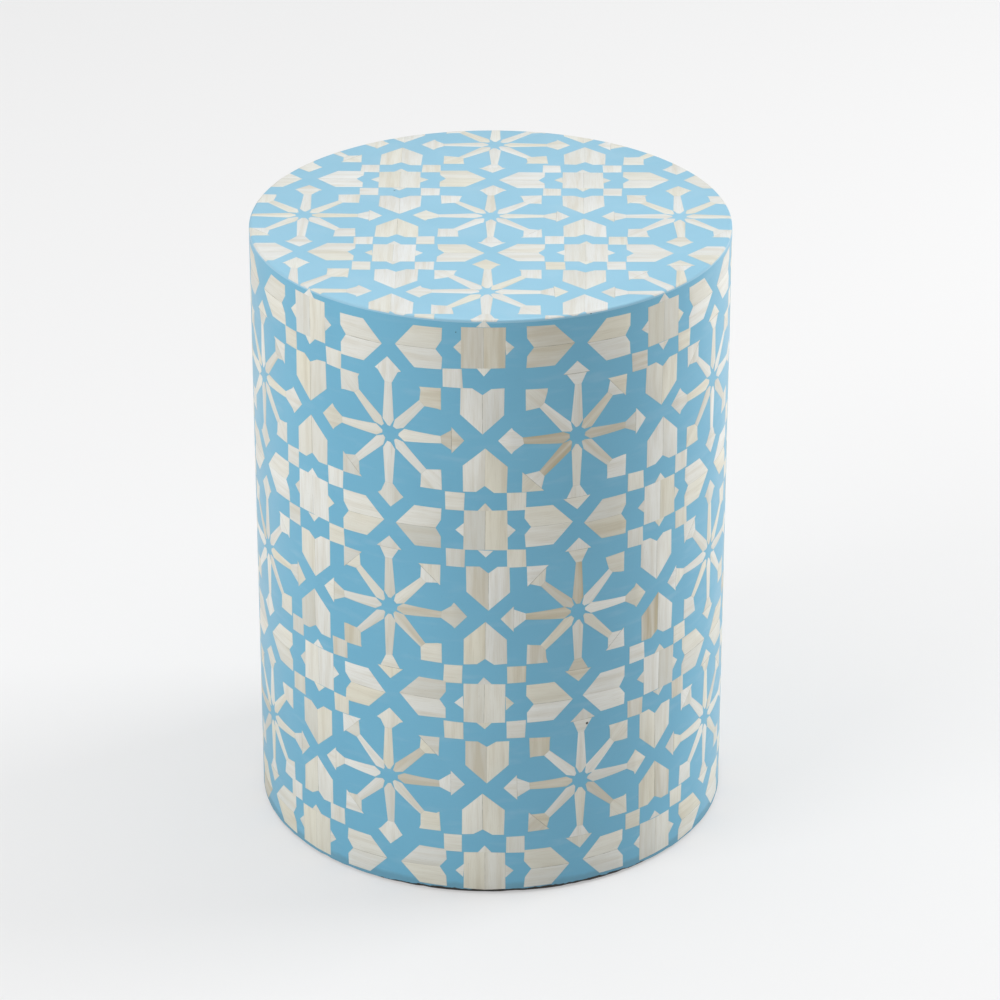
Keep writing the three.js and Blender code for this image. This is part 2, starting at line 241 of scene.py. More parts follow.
bent_ply, tree, shader = new_finish("bent_ply", Specular_IOR_Level=0.3)
spot = object_place(tree)
flat_spot = stretch(tree, spot, (1.0, 1.0, 0.0))
from_axis = measure(tree, "LENGTH", flat_spot)
layer_pairs = reckon(tree, "DIVIDE", from_axis, 2 * ply_thickness)
layer_side = reckon(tree, "GREATER_THAN", reckon(tree, "FRACT", layer_pairs), layer_change)
grain = use_group(tree, wood_grain, {
    "Place": spot, "Early wood": (0.60, 0.41, 0.22, 1), "Late wood": (0.40, 0.24, 0.11, 1),
    "Ring spacing": 14.0,
})
layer_colour = blend_colours(tree, 1.0, grain["Colour"], (0.62, 0.55, 0.48, 1), "MULTIPLY")
tree.links.new(blend_colours(tree, layer_side, grain["Colour"], layer_colour), shader["Base Color"])
tree.links.new(rescale(tree, cloud(tree, spot, scale=60.0), 0.3, 0.7, 0.65, 0.82), shader["Roughness"])
roughen(tree, shader, grain["Height"], depth=0.0002)

skin_profile = [
    (skin_inside, wall_foot), (skin_outside, wall_foot),
    (skin_outside, wall_head), (skin_inside, wall_head),
]
seam_turn = skin_seam / skin_outside
for name, start in (("skin_right", seamed_batten_turn), ("skin_left", seamed_batten_turn + math.pi)):
    half_skin = spun(skin_profile, math.pi - seam_turn, skin_facets, start + seam_turn / 2)
    keep_corners(half_skin, sharp_from=30)
    place_piece("bent_" + name, half_skin, bent_ply, "bent_plywood", name)

# Top board and bottom board: two rounds of plywood that close the drum. The bottom one lies a
# little up inside the wall and is painted dark, with its edge eased.

top_board_wood = wooden_finish(
    "top_board_wood", early_wood=(0.57, 0.39, 0.20, 1), late_wood=(0.38, 0.23, 0.10, 1),
    ring_spacing=11.0, lie=across_x, roughness=0.75)
dress(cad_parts["top_board"], top_board_wood)

board_radius = 0.1631
board_foot = 0.0045
board_thickness = 0.012
board_edge = 0.0008
board_facets = 192
board_rim_angle = math.radians(60)

dark_paint, tree, shader = new_finish("dark_paint", Specular_IOR_Level=0.4)
spot = object_place(tree)
brush_marks = cloud(tree, stretch(tree, spot, (18.0, 700.0, 18.0)), scale=1.0, detail=4.0)
rubbed = cloud(tree, spot, scale=45.0, detail=5.0, roughness=0.7)
brush_mask = rescale(tree, brush_marks, 0.3, 0.75, 0.0, 1.0)
paint_colour = blend_colours(tree, brush_mask, (0.018, 0.015, 0.013, 1), (0.040, 0.034, 0.029, 1))
dust_mask = rescale(tree, rubbed, 0.56, 0.75, 0.0, 0.55)
paint_colour = blend_colours(tree, dust_mask, paint_colour, (0.12, 0.10, 0.08, 1))
tree.links.new(paint_colour, shader["Base Color"])
tree.links.new(rescale(tree, rubbed, 0.3, 0.7, 0.55, 0.85), shader["Roughness"])
roughen(tree, shader, brush_marks, depth=0.0002)

bottom_board = bmesh.new()
bmesh.ops.create_circle(
    bottom_board, cap_ends=True, cap_tris=False, segments=board_facets, radius=board_radius)
bmesh.ops.translate(bottom_board, verts=bottom_board.verts, vec=(0, 0, board_foot))
lifted = bmesh.ops.extrude_face_region(bottom_board, geom=bottom_board.faces[:], use_keep_orig=True)
lifted_corners = [item for item in lifted["geom"] if isinstance(item, bmesh.types.BMVert)]
bmesh.ops.translate(bottom_board, verts=lifted_corners, vec=(0, 0, board_thickness))
bmesh.ops.recalc_face_normals(bottom_board, faces=bottom_board.faces)
rims = [edge for edge in bottom_board.edges if edge.calc_face_angle(0.0) > board_rim_angle]
bmesh.ops.bevel(
    bottom_board, geom=rims, offset=board_edge, offset_type="OFFSET", segments=2, profile=0.5,
    affect="EDGES", clamp_overlap=True, material=-1,
)
keep_corners(bottom_board, sharp_from=50)
place_piece("painted_bottom_board", bottom_board, dark_paint, "painted_board", "bottom_board")

# Glides: four moulded plastic pads, each on a steel nail that goes up through the bottom board
# into a batten. They lift the wall just clear of the floor, which leaves a dark line under it.

glide_radius = 0.012
glide_height = 0.0042
glide_edge = 0.0010
glide_easing_share = 0.3
glide_facets = 48
glide_count = 4

glide_plastic, tree, shader = new_finish("glide_plastic")
spot = object_place(tree)
scuffs = cloud(tree, stretch(tree, spot, (60.0, 400.0, 60.0)), scale=1.0, detail=5.0, roughness=0.7)
scuff_mask = rescale(tree, scuffs, 0.5, 0.8, 0.0, 1.0)
scuffed_colour = blend_colours(tree, scuff_mask, (0.016, 0.016, 0.017, 1), (0.075, 0.073, 0.07, 1))
tree.links.new(scuffed_colour, shader["Base Color"])
tree.links.new(rescale(tree, scuffs, 0.3, 0.8, 0.35, 0.65), shader["Roughness"])
roughen(tree, shader, scuffs, depth=0.0001)

nail_steel, tree, shader = new_finish("nail_steel", Metallic=1.0)
spot = object_place(tree)
drawn_lines = cloud(tree, stretch(tree, spot, (900.0, 900.0, 40.0)), scale=1.0, detail=3.0)
steel_colour = blend_colours(tree, drawn_lines, (0.42, 0.42, 0.43, 1), (0.62, 0.62, 0.61, 1))
tree.links.new(steel_colour, shader["Base Color"])
tree.links.new(rescale(tree, drawn_lines, 0.3, 0.7, 0.3, 0.5), shader["Roughness"])

glide_easing = glide_easing_share * glide_edge
glide_profile = [
    (0.0, 0.0), (glide_radius - glide_edge, 0.0), (glide_radius - glide_easing, glide_easing),
    (glide_radius, glide_edge), (glide_radius, glide_height), (0.0, glide_height),
]
for number in range(1, glide_count + 1):
    low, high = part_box(f"glide_{number}")
    glide = spun(glide_profile, full_turn, glide_facets)
    middle = (low + high) / 2
    bmesh.ops.translate(glide, verts=glide.verts, vec=(middle.x, middle.y, 0.0))
    keep_corners(glide, sharp_from=35)
    place_piece(f"moulded_glide_{number}", glide, glide_plastic, "glide_plastic", f"glide_{number}")
    dress(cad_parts[f"glide_nail_{number}"], nail_steel)

# Resin wall: sky blue resin, trowelled on round the chips, sanded back flush and lacquered. Its
# sawn lower edge is a little ragged, with painted shade in a rougher band just above it. At the very
# foot a near-black band is partly dark paint crept on from the underside and partly painted contact
# shadow, most at front and back.

stool_height = 0.450
wall_radius = 0.170
wall_inside = 0.1677
wall_foot_edge = 0.0007
seam_height = 0.4477
facets_per_column = 24
column_count = 8
wall_facets = column_count * facets_per_column
front_facet = math.radians(-90)
plain_from = 0.0116
ragged_depth = 0.0006
nibble_rarity = 3
bubbles_per_metre = 55.0
bubble_share = 0.032
open_bubbles = 0.14
pinhole_shade = 0.7
pinhole_sinks = 0.4
speck_darkness = 0.8
lacquer_relief = 0.0005
wall_pit = (0.0720, -0.1541, 0.1322)
wall_pit_radius = 0.00075
pit_slope = 1.6
foot_waviness = 0.003
# Painted shade: the blue is darkened in a band just above the wall's foot, where the floor shades it.
# The band is also rougher.
foot_shade_band = 0.0082
foot_shade_fade = 0.0030
foot_shade_strength = 0.45
dull_roughness = 0.4
# Near-black band at the very foot: partly dark paint crept from the underside and partly a painted
# contact shadow under the wall. It is deepest towards the front and back.
least_paint_and_shadow = 0.0030
most_paint_and_shadow = 0.0052
paint_and_shadow_fade = 0.0004
deepest_paint_and_shadow_side = (0.156, -0.988, 0.0)
paint_and_shadow_grows = (0.135, 0.158)

# Lacquer: a broad waviness from hand sanding, orange peel, a sheen that varies in patches, one pit
lacquer, lacquer_in, lacquer_out = new_group(
    "lacquer",
    [("Place", "NodeSocketVector"), ("Dullest", "NodeSocketFloat"), ("Shiniest", "NodeSocketFloat"),
     ("Pit", "NodeSocketVector"), ("Pit radius", "NodeSocketFloat")],
    [("Roughness", "NodeSocketFloat"), ("Height", "NodeSocketFloat"), ("Pit", "NodeSocketFloat")],
)
sanding_waves = cloud(lacquer, lacquer_in["Place"], scale=11.0, detail=1.0)
orange_peel = cloud(lacquer, lacquer_in["Place"], scale=420.0, detail=1.0)
sheen_patches = cloud(lacquer, lacquer_in["Place"], scale=26.0, detail=4.0, roughness=0.6)
sheen_share = rescale(lacquer, sheen_patches, 0.3, 0.7, 0.0, 1.0)
sheen_span = reckon(lacquer, "SUBTRACT", lacquer_in["Dullest"], lacquer_in["Shiniest"])
sheen_rise = reckon(lacquer, "MULTIPLY", sheen_share, sheen_span)
lacquer.links.new(reckon(lacquer, "ADD", lacquer_in["Shiniest"], sheen_rise), lacquer_out["Roughness"])
peel_height = reckon(lacquer, "MULTIPLY", orange_peel, 0.02)
lacquer.links.new(reckon(lacquer, "ADD", sanding_waves, peel_height), lacquer_out["Height"])
from_pit = measure(lacquer, "DISTANCE", lacquer_in["Place"], lacquer_in["Pit"])
pit_edge = reckon(lacquer, "MULTIPLY", lacquer_in["Pit radius"], pit_slope)
pit_mask = rescale(lacquer, from_pit, lacquer_in["Pit radius"], pit_edge, 1.0, 0.0)
lacquer.links.new(pit_mask, lacquer_out["Pit"])


def blue_resin_finish(name, resin_blue, resin_shade, pit, pit_radius):
    finish, tree, shader = new_finish(
        name, Coat_Weight=0.20, Coat_Roughness=0.22, Specular_IOR_Level=0.4)
    trowel_white = (0.62, 0.74, 0.80, 1)
    pinhole_dark = (0.05, 0.11, 0.15, 1)
    # The next colour is painted shade at the foot. The one after it is partly dark paint and partly
    # painted contact shadow.
    foot_shade_blue = (0.12, 0.25, 0.33, 1)
    paint_and_shadow_dark = (0.030, 0.027, 0.024, 1)
    spot = object_place(tree)
    broad = rescale(tree, cloud(tree, spot, scale=14.0, detail=3.0), 0.3, 0.7, 0.0, 1.0)
    colour = blend_colours(tree, broad, resin_blue, resin_shade)
    pigment = rescale(tree, cloud(tree, spot, scale=900.0, detail=2.0), 0.62, 0.8, 0.0, 0.35)
    speck_blue = [*(speck_darkness * part for part in resin_shade[:3]), 1]
    colour = blend_colours(tree, pigment, colour, speck_blue)
    trowel_marks = cloud(tree, stretch(tree, spot, (30.0, 30.0, 140.0)), scale=1.0, detail=3.0)
    haze = rescale(tree, trowel_marks, 0.55, 0.8, 0.0, 0.12)
    colour = blend_colours(tree, haze, colour, trowel_white)
    sockets = {"Vector": spot, "Scale": bubbles_per_metre}
    bubbles = add_node(tree, "ShaderNodeTexVoronoi", sockets, feature="F1")
    is_bubble = reckon(tree, "LESS_THAN", bubbles.outputs["Distance"], bubble_share)
    bubble_number = add_node(tree, "ShaderNodeSeparateColor", {0: bubbles.outputs["Color"]}).outputs[0]
    is_open = reckon(tree, "GREATER_THAN", bubble_number, 1 - open_bubbles)
    coat = use_group(tree, lacquer, {
        "Place": spot, "Dullest": 0.42, "Shiniest": 0.30, "Pit": pit, "Pit radius": pit_radius,
    })
    pinholes = reckon(tree, "MAXIMUM", reckon(tree, "MULTIPLY", is_bubble, is_open), coat["Pit"])
    pinhole_mask = reckon(tree, "MULTIPLY", pinholes, pinhole_shade)
    colour = blend_colours(tree, pinhole_mask, colour, pinhole_dark)
    axes = add_node(tree, "ShaderNodeSeparateXYZ", {0: spot}).outputs
    waviness = reckon(tree, "MULTIPLY", cloud(tree, spot, scale=160.0, detail=3.0), foot_waviness)
    height = reckon(tree, "ADD", axes["Z"], waviness)
    # Painted shade near the floor: the blue darkens in a band at the foot of the wall.
    foot = rescale(tree, height, foot_shade_band, foot_shade_band + foot_shade_fade, foot_shade_strength, 0.0)
    colour = blend_colours(tree, foot, colour, foot_shade_blue)
    # Painted contact shadow together with crept paint: a near-black band at the foot, taller towards
    # the front and back.
    to_side = measure(tree, "DOT_PRODUCT", spot, deepest_paint_and_shadow_side)
    paint_and_shadow_reach = rescale(tree, reckon(tree, "ABSOLUTE", to_side), *paint_and_shadow_grows, least_paint_and_shadow, most_paint_and_shadow)
    paint_and_shadow_mask = rescale(tree, reckon(tree, "SUBTRACT", height, paint_and_shadow_reach), 0.0, paint_and_shadow_fade, 1.0, 0.0)
    colour = blend_colours(tree, paint_and_shadow_mask, colour, paint_and_shadow_dark)
    tree.links.new(colour, shader["Base Color"])
    rougher = reckon(tree, "MULTIPLY", foot, dull_roughness)
    tree.links.new(reckon(tree, "ADD", coat["Roughness"], rougher), shader["Roughness"])
    sunk = reckon(tree, "MULTIPLY", pinholes, pinhole_sinks)
    roughen(tree, shader, reckon(tree, "SUBTRACT", coat["Height"], sunk), depth=lacquer_relief)
    return finish


wall_blue = blue_resin_finish(
    "wall_blue_resin", resin_blue=(0.167, 0.462, 0.641, 1), resin_shade=(0.153, 0.436, 0.614, 1),
    pit=wall_pit, pit_radius=wall_pit_radius)

resin_wall = spun(
    [(wall_inside, wall_foot), (wall_radius - wall_foot_edge, wall_foot),
     (wall_radius, wall_foot + wall_foot_edge), (wall_radius, plain_from), (wall_radius, seam_height),
     (wall_inside, seam_height)],
    full_turn, wall_facets, front_facet,
)
nibble_seed = 11
chance = random.Random(nibble_seed)
nibbles = [chance.random() ** nibble_rarity * ragged_depth for _ in range(wall_facets)]
nibbled_below = wall_foot + 1.5 * wall_foot_edge
for corner in resin_wall.verts:
    if corner.co.z < nibbled_below:
        around = math.atan2(corner.co.y, corner.co.x) / full_turn * wall_facets
        corner.co.z += nibbles[round(around) % wall_facets]
keep_corners(resin_wall, sharp_from=40)
place_piece("resin_wall", resin_wall, wall_blue, "blue_resin", "resin_side")

# Star rays of the wall: thin wedges of camel bone, wide at the hub, eight to a star. Each chip is
# sawn by hand and glued down before the resin goes on, so no two are quite alike.

column_pitch = full_turn * wall_radius / column_count
columns = range(-column_count // 2, column_count // 2)
upper_margin = 0.0225
lower_margin = 0.020
star_rows = 3
row_pitch = (stool_height - upper_margin - lower_margin) / star_rows
wall_grid = (column_pitch, row_pitch)
chip_thickness = 0.0016
chip_edge = 0.00016
chip_edge_drop = 0.00004
chip_stands = 0.00006
sanding_error = 0.00001
saw_wander = 0.00050
stray = 0.0009
millimetre = 0.001
edge_shade = 0.22
seam_reach = 2 * chip_edge
facing_up = 0.99
faint_glue = 0.35
pore_roughness = 0.2
grain_sinks = 0.04
usual_tone = 0.31
tone_spread = 0.31
stain_depths = (0.45, 0.90)
faintest_stains = (0.0, 0.16)
chip_layers = ("tone", "stain", "glue_line")
grain_reach = 9
slight = 0.55
deep = 1.0


def bone_finish(name, white_bone, grey_bone, yellow_bone, seam_strength, pit, pit_radius):
    finish, tree, shader = new_finish(
        name, Coat_Weight=0.18, Coat_Roughness=0.25, Specular_IOR_Level=0.4)
    spot = object_place(tree)
    along_grain = add_node(tree, "ShaderNodeUVMap", {}, uv_map="grain").outputs[0]
    fine_stretch = stretch(tree, along_grain, (60.0, 1700.0, 1.0))
    fine_lines = cloud(tree, fine_stretch, scale=1.0, detail=3.0, roughness=0.6)
    broad_lines = cloud(tree, stretch(tree, along_grain, (16.0, 190.0, 1.0)), scale=1.0, detail=2.0)
    whole_chip = cloud(tree, stretch(tree, along_grain, (2.5, 6.0, 1.0)), scale=1.0, detail=0.0)
    pores = cloud(tree, stretch(tree, along_grain, (260.0, 2600.0, 1.0)), scale=1.0, detail=1.0)
    tone, stain, glue_line = (
        add_node(tree, "ShaderNodeAttribute", {}, attribute_name=part).outputs["Fac"]
        for part in chip_layers)
    stained_bone = (0.500, 0.435, 0.295, 1)
    pore_brown = (0.300, 0.255, 0.180, 1)
    glue_brown = (0.210, 0.185, 0.135, 1)
    pit_dark = (0.045, 0.050, 0.050, 1)
    colour = blend_colours(tree, tone, white_bone, grey_bone)
    colour = blend_colours(tree, rescale(tree, whole_chip, 0.45, 0.75, 0.0, 0.9), colour, yellow_bone)
    broad_mask = rescale(tree, broad_lines, 0.45, 0.75, 0.0, 0.30)
    colour = blend_colours(tree, broad_mask, colour, stained_bone)
    fine_mask = rescale(tree, fine_lines, 0.48, 0.80, 0.0, 0.34)
    colour = blend_colours(tree, fine_mask, colour, stained_bone)
    stain_mask = reckon(tree, "MULTIPLY", stain, rescale(tree, broad_lines, 0.30, 0.62, 0.45, 1.0))
    colour = blend_colours(tree, stain_mask, colour, stained_bone)
    pore_mask = rescale(tree, pores, 0.70, 0.82, 0.0, 0.4)
    colour = blend_colours(tree, pore_mask, colour, pore_brown)
    uneven = cloud(tree, spot, scale=130.0, detail=2.0)
    glue_depth = rescale(tree, uneven, 0.35, 0.60, faint_glue * seam_strength, seam_strength)
    colour = blend_colours(tree, reckon(tree, "MULTIPLY", glue_line, glue_depth), colour, glue_brown)
    coat = use_group(tree, lacquer, {
        "Place": spot, "Dullest": 0.46, "Shiniest": 0.34, "Pit": pit, "Pit radius": pit_radius,
    })
    colour = blend_colours(tree, coat["Pit"], colour, pit_dark)
    tree.links.new(colour, shader["Base Color"])
    rougher = reckon(tree, "MULTIPLY", pore_mask, pore_roughness)
    tree.links.new(reckon(tree, "ADD", coat["Roughness"], rougher), shader["Roughness"])
    sunk = reckon(tree, "MULTIPLY", fine_mask, grain_sinks)
    roughen(tree, shader, reckon(tree, "SUBTRACT", coat["Height"], sunk), depth=lacquer_relief)
    return finish


wall_bone = bone_finish(
    "wall_bone", white_bone=(0.821, 0.828, 0.789, 1), grey_bone=(0.625, 0.625, 0.566, 1),
    yellow_bone=(0.781, 0.750, 0.622, 1), seam_strength=0.85, pit=wall_pit, pit_radius=wall_pit_radius)


def new_sheet():
    sheet = bmesh.new()
    sheet.loops.layers.uv.new("grain")
    for name in chip_layers:
        sheet.faces.layers.float.new(name)
    return sheet


def sawn(corners, chance):
    """Corners in metres, each a little out of place, as a hand saw leaves them."""
    return [
        Vector(corner) + Vector([chance.uniform(-1, 1) for _ in range(2)]) * saw_wander
        for corner in corners
    ]


def make_chip(corners, grain_turn, look, chance, seam=None):
    """One chip lying flat, its face near height 0 and its edge eased. A seam's edge holds dark glue."""
    chip = new_sheet()
    for corner in corners:
        chip.verts.new((corner.x, corner.y, -chip_thickness))
    back = chip.faces.new(chip.verts)
    raised = bmesh.ops.extrude_face_region(chip, geom=[back], use_keep_orig=True)["geom"]
    upper = [item for item in raised if isinstance(item, bmesh.types.BMVert)]
    rim = [item for item in raised if isinstance(item, bmesh.types.BMEdge)]
    bmesh.ops.translate(chip, verts=upper, vec=(0, 0, chip_thickness))
    bmesh.ops.recalc_face_normals(chip, faces=chip.faces)
    bmesh.ops.bevel(
        chip, geom=rim, offset=chip_edge, offset_type="OFFSET", segments=1, profile=0.5,
        affect="EDGES", clamp_overlap=True, material=-1,
    )
    sanded = chance.uniform(-sanding_error, sanding_error)
    for corner in chip.verts:
        if corner.co.z > -chip_thickness / 2:
            corner.co.z = sanded - (chip_edge_drop if corner.co.z < -chip_edge / 2 else 0.0)
    middle = sum(corners, Vector((0.0, 0.0))) / len(corners)
    shift = Vector([chance.uniform(-grain_reach, grain_reach) for _ in range(2)])
    turn_back = Matrix.Rotation(-grain_turn, 2)
    grain = chip.loops.layers.uv["grain"]
    tones, stains, glue_lines = (chip.faces.layers.float[name] for name in chip_layers)
    for face in chip.faces:
        face[tones], face[stains] = look
        face[glue_lines] = 0.0 if face.normal.z > facing_up else glue_shade(face, seam)
        for corner in face.loops:
            corner[grain].uv = turn_back @ (corner.vert.co.xy - middle) + shift
    return chip


def glue_shade(face, seam):
    if seam is None:
        return edge_shade
    start, end, shade = seam
    along = (end - start).normalized()
    place = face.calc_center_median().xy - start
    off_line = abs(along.x * place.y - along.y * place.x)
    return shade if off_line < seam_reach else edge_shade


def cut_across(chip, normal, point, drop_outside=False):
    bmesh.ops.bisect_plane(
        chip, geom=[*chip.verts, *chip.edges, *chip.faces], dist=same_place,
        plane_co=point, plane_no=normal, clear_outer=drop_outside,
    )


def bend_on_wall(chip):
    """Creases the chip where the wall's facets meet, and bends it round the wall."""
    facet = column_pitch / facets_per_column
    low = min(corner.co.x for corner in chip.verts)
    high = max(corner.co.x for corner in chip.verts)
    for crease in range(math.ceil(low / facet), math.floor(high / facet) + 1):
        cut_across(chip, (1, 0, 0), (crease * facet, 0, 0))
    for corner in chip.verts:
        along, up, out = corner.co
        around = along / wall_radius - math.pi / 2
        from_axis = wall_radius + chip_stands + out
        corner.co = (from_axis * math.cos(around), from_axis * math.sin(around), up)


def add_chip(sheet, chip):
    if chip.calc_volume(signed=True) < 0.0:
        bmesh.ops.reverse_faces(chip, faces=chip.faces)
    keep_corners(chip, sharp_from=15)
    blank = bpy.data.meshes.new("blank")
    chip.to_mesh(blank)
    chip.free()
    sheet.from_mesh(blank)
    bpy.data.meshes.remove(blank)


def turned(outline, angle):
    turn = Matrix.Rotation(angle, 2)
    return [tuple(turn @ Vector(point)) for point in outline]


def laid_out(outline, grid, centre, chance):
    """An outline in shares of the pattern's pitch, sawn in metres round its centre."""
    return sawn([(centre[0] + x * grid[0], centre[1] + y * grid[1]) for x, y in outline], chance)


def bone_look(chance, stained_share, seen, number):
    """How grey and how stained a chip is. For a motif in view, the stained chips are the seen ones."""
    tone = min(1.0, max(0.0, chance.gauss(usual_tone, tone_spread)))
    stain = chance.uniform(*stain_depths) if chance.random() < stained_share else None
    clean = chance.uniform(*faintest_stains)
    if seen is not None:
        stain = seen.get(number)
    return tone, clean if stain is None else stain


def seen_stains(stains, key):
    """Which chips of a wall motif are stained and how much, or None if the motif is out of view."""
    return stains.get(key[:2], {}) if key[0] in front_columns else None


def strayed(places, seen, seed):
    """Moves each place off the grid by chance, or by the whole millimetres given for it."""
    chance = random.Random(seed)
    moved = {}
    for key, (along, up) in places.items():
        drift = (chance.gauss(0.0, stray), chance.gauss(0.0, stray))
        if key in seen:
            drift = [part * millimetre for part in seen[key]]
        moved[key] = (along + drift[0], up + drift[1])
    return moved


ray_starts = (0.037, 0.053)
ray_swings = (-0.02, 0.02)
ray_nose = 0.036
ray_half = 0.0312
ray_tip_half = 0.0080
neck_half = 0.0190
straight_reach = 0.282
slant_reach = 0.266
ray_stained_share = 0.20
front_columns = range(-1, 2)
star_turns = [step * math.pi / 4 for step in range(8)]
star_strays = {
    (-1, 0): (0, 0), (0, 0): (-2, 0),
    (-1, 1): (-1, 1), (0, 1): (0, 0),
    (-1, 2): (-3, 1), (0, 2): (3, 0),
}
ray_stains = {
    (-1, 1): {0: slight, 7: slight},
    (-1, 2): {0: slight, 1: slight},
    (0, 0): {0: slight, 1: slight, 4: deep, 5: deep, 7: slight},
    (0, 1): {2: deep, 3: slight, 4: deep},
    (0, 2): {4: slight, 7: slight},
}
wall_head_line = stool_height - upper_margin
wall_stars = strayed(
    {(column, row): ((column + 0.5) * column_pitch, wall_head_line - (row + 0.5) * row_pitch)
     for row in range(star_rows) for column in columns},
    star_strays, seed=90)


def ray_outline(start, reach):
    left = [(start + ray_nose, ray_half), (start, ray_tip_half)]
    right = [(x, -y) for x, y in reversed(left)]
    return [*right, (reach, -neck_half), (reach, neck_half), *left]


def saw_rays(grid, stars, seed):
    """The outlines of the eight rays of each star."""
    chance = random.Random(seed)
    sawn_rays = {}
    for key, centre in stars.items():
        sawn_rays[key] = []
        for step, turn in enumerate(star_turns):
            reach = slant_reach if step % 2 else straight_reach
            outline = ray_outline(chance.uniform(*ray_starts), reach)
            swing = turn + chance.uniform(*ray_swings)
            sawn_rays[key].append(laid_out(turned(outline, swing), grid, centre, chance))
    return sawn_rays


def ray_chips(rays, seen, chance):
    for step, ray in enumerate(rays):
        look = bone_look(chance, ray_stained_share, seen, step)
        yield make_chip(ray, star_turns[step], look, chance)


def lay_on_wall(name, make_chips, keys, seed):
    chance = random.Random(seed)
    sheet = new_sheet()
    for key in keys:
        for chip in make_chips(key, chance):
            bend_on_wall(chip)
            add_chip(sheet, chip)
    place_piece(name, sheet, wall_bone, "bone")


wall_rays = saw_rays(wall_grid, wall_stars, seed=91)
for row in range(star_rows):
    lay_on_wall(
        f"wall_star_rays_{row + 1}",
        lambda key, chance: ray_chips(wall_rays[key], seen_stains(ray_stains, key), chance),
        [key for key in wall_stars if key[1] == row], seed=100 + row)

# Star heads of the wall: a kite of bone at the end of every ray. The ones on the slant are nearly
# square. Many are pieced from two offcuts, a triangle and a narrower foot.

straight_head = [(0.336, -0.0560), (0.347, -0.0740), (0.417, 0.0)]
slant_head = [(0.304, -0.0640), (0.3145, -0.0800), (0.3985, 0.0)]
pieced_share = 0.45
foot_narrower = 0.12
head_seam_shades = (0.5, 1.0)
stained_share = 0.06
nudge = 0.0006
head_stains = {
    (-1, 0): {0: slight, 1: slight},
    (-1, 1): {5: slight},
    (0, 1): {5: slight, 6: slight},
    (0, 2): {3: slight, 5: slight},
}


def nudged(centre, chance):
    return [part + chance.gauss(0.0, nudge) for part in centre]


def head_chips(grid, centre, rays, seen, chance):
    for step, turn in enumerate(star_turns):
        outline = slant_head if step % 2 else straight_head
        outline = [*outline, *((x, -y) for x, y in reversed(outline[:-1]))]
        root_right, ear_right, tip, ear_left, root_left = laid_out(
            turned(outline, turn), grid, nudged(centre, chance), chance)
        neck_right, neck_left = rays[step][2:4]
        if chance.random() > pieced_share:
            whole = [neck_right, root_right, ear_right, tip, ear_left, root_left, neck_left]
            look = bone_look(chance, stained_share, seen, step)
            yield make_chip(whole, chance.choice((0.0, math.pi / 2, turn)), look, chance)
            continue
        seam = (ear_right, ear_left, chance.uniform(*head_seam_shades))
        root_right = ear_right.lerp(ear_left, foot_narrower)
        root_left = ear_left.lerp(ear_right, foot_narrower)
        for part in ([ear_right, tip, ear_left], [neck_right, root_right, root_left, neck_left]):
            look = bone_look(chance, stained_share, seen, step)
            yield make_chip(part, chance.choice((0.0, math.pi / 2, turn)), look, chance, seam)


for row in range(star_rows):
    lay_on_wall(
        f"wall_star_heads_{row + 1}",
        lambda key, chance: head_chips(
            wall_grid, wall_stars[key], wall_rays[key], seen_stains(head_stains, key), chance),
        [key for key in wall_stars if key[1] == row], seed=200 + row)

# Rosettes of the wall: a square of two upright halves with a small triangle on each side, which
# makes an eight-pointed figure. The bottom row has no lower triangle.

rosette_half = 0.112
rosette_tip = 0.154
tip_half = 0.040
tip_overlap = 0.001
rosette_seam_shades = (0.3, 0.9)
all_sides = range(4)
quarter_turns = [side * math.pi / 2 for side in all_sides]
upward = 1
downward = 3
rosette_strays = {
    (-1, 0): (0, 1), (0, 0): (0, 2), (1, 0): (2, 0),
    (-1, 1): (0, 1), (0, 1): (1, 0), (1, 1): (1, 0),
    (-1, 2): (2, 2), (0, 2): (0, 0), (1, 2): (3, 0),
    (-1, 3): (-4, 0), (0, 3): (0, -1), (1, 3): (2, 0),
}
rosette_stains = {(0, 0): {0: slight, 1: slight}}
wall_grid_points = {
    (column, tier): (column * column_pitch, wall_head_line - tier * row_pitch)
    for tier in range(star_rows + 1) for column in columns
}
wall_rosettes = strayed(wall_grid_points, rosette_strays, seed=92)


def wall_sides(tier, reach_up=0):
    """The sides of a rosette that have room for a chip above the lower edge and below the upper one."""
    return [
        side for side in all_sides
        if (side != upward or tier >= reach_up) and (side != downward or tier < star_rows)
    ]


def rosette_chips(grid, centre, sides, seen, chance):
    half = rosette_half
    outline = [(-half, -half), (0.0, -half), (half, -half), (half, half), (0.0, half), (-half, half)]
    low_left, low, low_right, high_right, high, high_left = laid_out(outline, grid, centre, chance)
    seam = (low, high, chance.uniform(*rosette_seam_shades))
    halves = ([low_left, low, high, high_left], [low, low_right, high_right, high])
    for number, part in enumerate(halves):
        look = bone_look(chance, stained_share, seen, number)
        yield make_chip(part, math.pi / 2, look, chance, seam)
    for side in sides:
        tip = [(half - tip_overlap, -tip_half), (rosette_tip, 0.0), (half - tip_overlap, tip_half)]
        corners = laid_out(turned(tip, quarter_turns[side]), grid, centre, chance)
        look = bone_look(chance, stained_share, seen, 2 + side)
        yield make_chip(corners, quarter_turns[side], look, chance)


for tier in range(star_rows + 1):
    lay_on_wall(
        f"wall_rosettes_{tier + 1}",
        lambda key, chance: rosette_chips(
            wall_grid, wall_rosettes[key], wall_sides(tier), seen_stains(rosette_stains, key), chance),
        [key for key in wall_rosettes if key[1] == tier], seed=300 + tier)

# Shields of the wall: an arched chip in two halves on each side of a rosette, pointing away from
# it, with a notch in its base. None crosses the upper or the lower edge of the wall.

